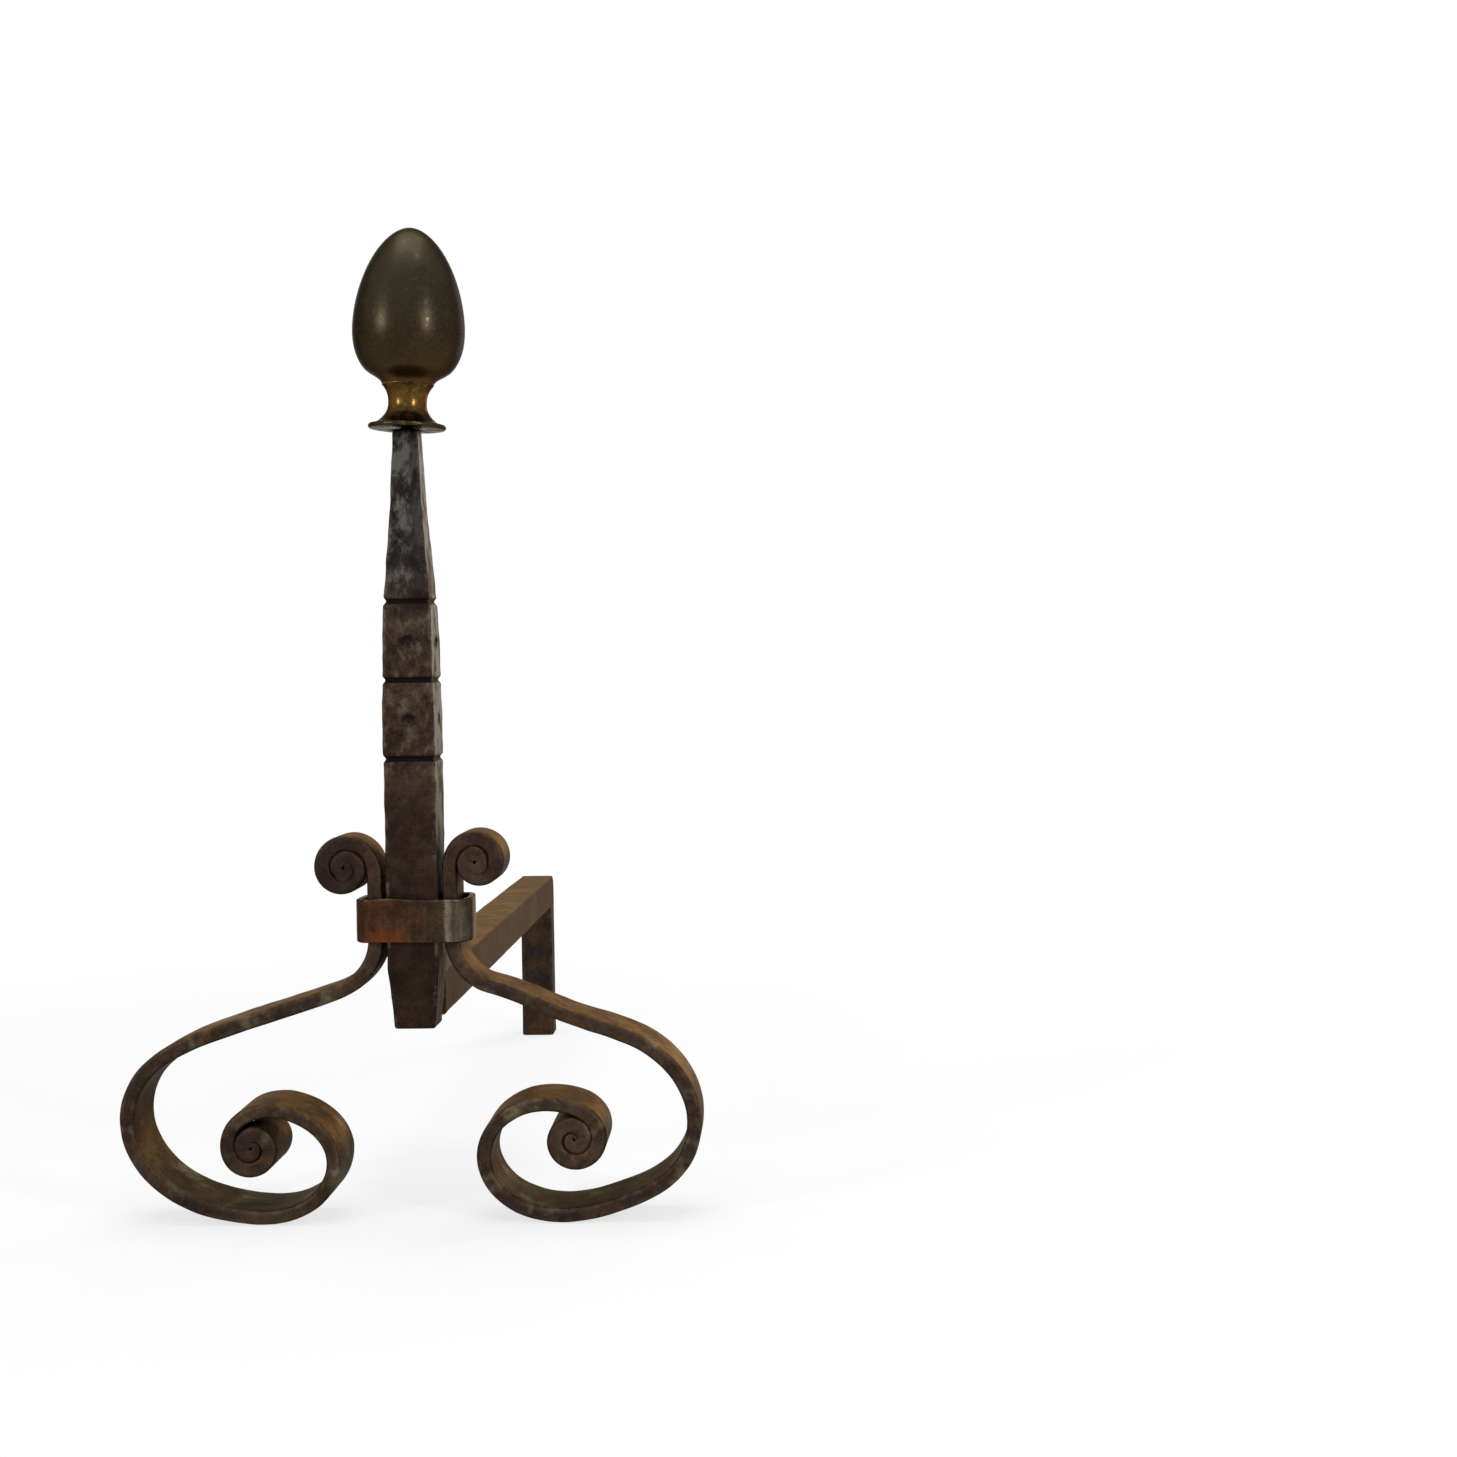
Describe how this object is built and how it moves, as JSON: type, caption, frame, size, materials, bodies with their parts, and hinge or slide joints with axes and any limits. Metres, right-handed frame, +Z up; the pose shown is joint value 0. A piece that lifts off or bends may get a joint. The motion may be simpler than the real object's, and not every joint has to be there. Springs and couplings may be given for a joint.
{
  "type": "andiron",
  "caption": "Wrought-iron andiron with a grooved square post, scrolled feet bound by a collar, a bent log bar behind and an egg-shaped brass finial.",
  "frame": {"origin": "middle of the footprint on the floor", "axes": "+Z up, the scrolled front faces -Y, the log bar runs back along +Y, +X is to the right seen from the front"},
  "size_m": [0.2796, 0.523, 0.4764],
  "materials": {
    "post_iron": "hand-forged wrought iron, blackened, worn silvery on the neck and browned with rust at the foot",
    "leg_iron": "hand-forged wrought iron, brown-black with rubbed edges",
    "collar_iron": "wrapped iron strip, rust brown turning olive grey",
    "bar_iron": "fire-scaled iron bar with tan-brown rust",
    "stud_iron": "threaded steel stud, dull",
    "bright_brass": "golden brass, rubbed bright at the waist",
    "dull_brass": "smooth cast brass, dark olive-brown patina"
  },
  "bodies": {
    "frame": {"post": "post_iron", "left_leg": "leg_iron", "right_leg": "leg_iron", "leg_rivet": "leg_iron", "collar": "collar_iron", "log_bar": "bar_iron", "finial_stud": "stud_iron"},
    "finial_base": {"finial_base": "bright_brass"},
    "finial_egg": {"finial_egg": "dull_brass"}
  },
  "joints": [
    {"name": "finial_lift", "type": "slide", "parent": "frame", "child": "finial_base", "axis": [0.0366, 0, 0.9993], "range_m": [0, 0.01026]},
    {"name": "finial_turn", "type": "hinge", "parent": "finial_base", "child": "finial_egg", "pos_m": [0.00236, -0.23475, 0.3801], "axis": [0.0366, 0, 0.9993], "range_deg": [0, 2880]}
  ],
  "couplings": [
    {"joint": "finial_lift", "follows": "finial_turn", "m_per_rad": 0.00020213}
  ]
}
